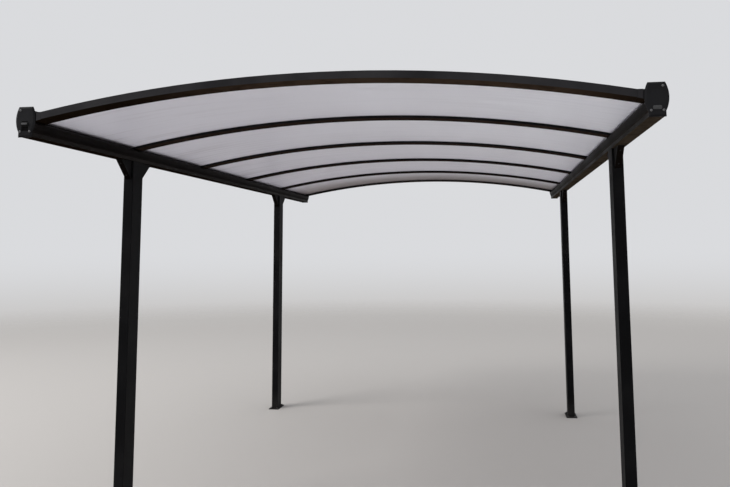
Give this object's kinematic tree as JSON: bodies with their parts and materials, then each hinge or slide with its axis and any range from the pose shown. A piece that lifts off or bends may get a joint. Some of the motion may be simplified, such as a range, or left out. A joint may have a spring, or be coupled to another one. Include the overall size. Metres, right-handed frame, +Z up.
{
  "type": "carport",
  "caption": "Open carport on slim posts with gutter beams along the sides and a shallow arched roof of translucent panels.",
  "frame": {"origin": "on the floor under the middle of the roof, at the bottom centre of the bounding box", "axes": "+X to the right seen from the front, +Y from the front end to the rear end, +Z up"},
  "size_m": [2.961, 5.052, 2.3619],
  "materials": {
    "frame": "satin powder coat, near-black anthracite",
    "fittings": "satin powder coat on cast brackets",
    "end_caps": "fine satin moulded plastic",
    "roof_panels": "translucent grey-white twin-wall sheet, lightly dusty"
  },
  "bodies": {
    "root": {"post_front_left": "frame", "foot_front_left": "frame", "brace_front_left_front": "fittings", "brace_front_left_rear": "fittings", "gutter_cap_front_left": "end_caps", "arch_shoe_front_left": "fittings", "post_front_right": "frame", "foot_front_right": "frame", "brace_front_right_front": "fittings", "brace_front_right_rear": "fittings", "gutter_cap_front_right": "end_caps", "arch_shoe_front_right": "fittings", "post_rear_left": "frame", "foot_rear_left": "frame", "brace_rear_left_front": "fittings", "brace_rear_left_rear": "fittings", "gutter_cap_rear_left": "end_caps", "arch_shoe_rear_left": "fittings", "post_rear_right": "frame", "foot_rear_right": "frame", "brace_rear_right_front": "fittings", "brace_rear_right_rear": "fittings", "gutter_cap_rear_right": "end_caps", "arch_shoe_rear_right": "fittings", "gutter_beam_left": "frame", "gutter_beam_right": "frame", "front_arch": "frame", "rear_arch": "frame", "middle_arch_1": "frame", "cover_strip_1": "frame", "middle_arch_2": "frame", "cover_strip_2": "frame", "middle_arch_3": "frame", "cover_strip_3": "frame", "middle_arch_4": "frame", "cover_strip_4": "frame", "roof_panel_1": "roof_panels", "roof_panel_2": "roof_panels", "roof_panel_3": "roof_panels", "roof_panel_4": "roof_panels", "roof_panel_5": "roof_panels"}
  },
  "joints": []
}
